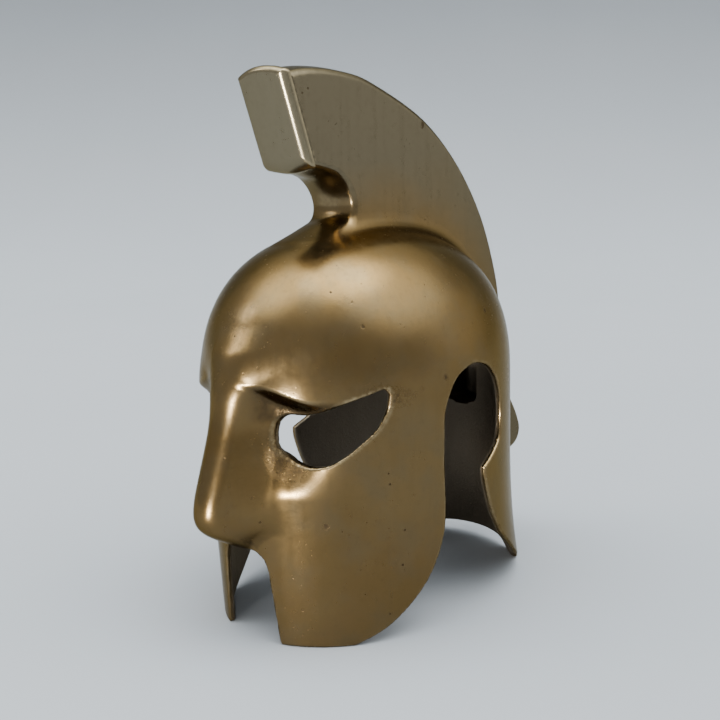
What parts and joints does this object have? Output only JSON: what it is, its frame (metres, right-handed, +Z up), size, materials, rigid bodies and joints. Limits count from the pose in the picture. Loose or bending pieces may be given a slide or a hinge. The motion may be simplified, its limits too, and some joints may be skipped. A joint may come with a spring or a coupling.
{
  "type": "corinthian helmet",
  "caption": "Hollow cast brass helmet with nose guard, cheek guards, flared neck guard and a tall hollow crest; it stands on its rim.",
  "frame": {"origin": "on the surface it stands on, under the middle of its overall length and width", "axes": "+Z up, -Y is the way the helmet faces, +X is the wearer's left"},
  "size_m": [0.1152, 0.2012, 0.222],
  "materials": {
    "cast_brass": "aged satin cast brass, brown tarnish, polished on the brow and nose ridge, pitted and left rough in the eye sockets",
    "plate_brass": "aged satin brass plate, paler and greyer than the casting, dark tarnish in the seam round it"
  },
  "bodies": {
    "root": {"helmet_casting": "cast_brass", "crest_front_plate": "plate_brass"}
  },
  "joints": []
}
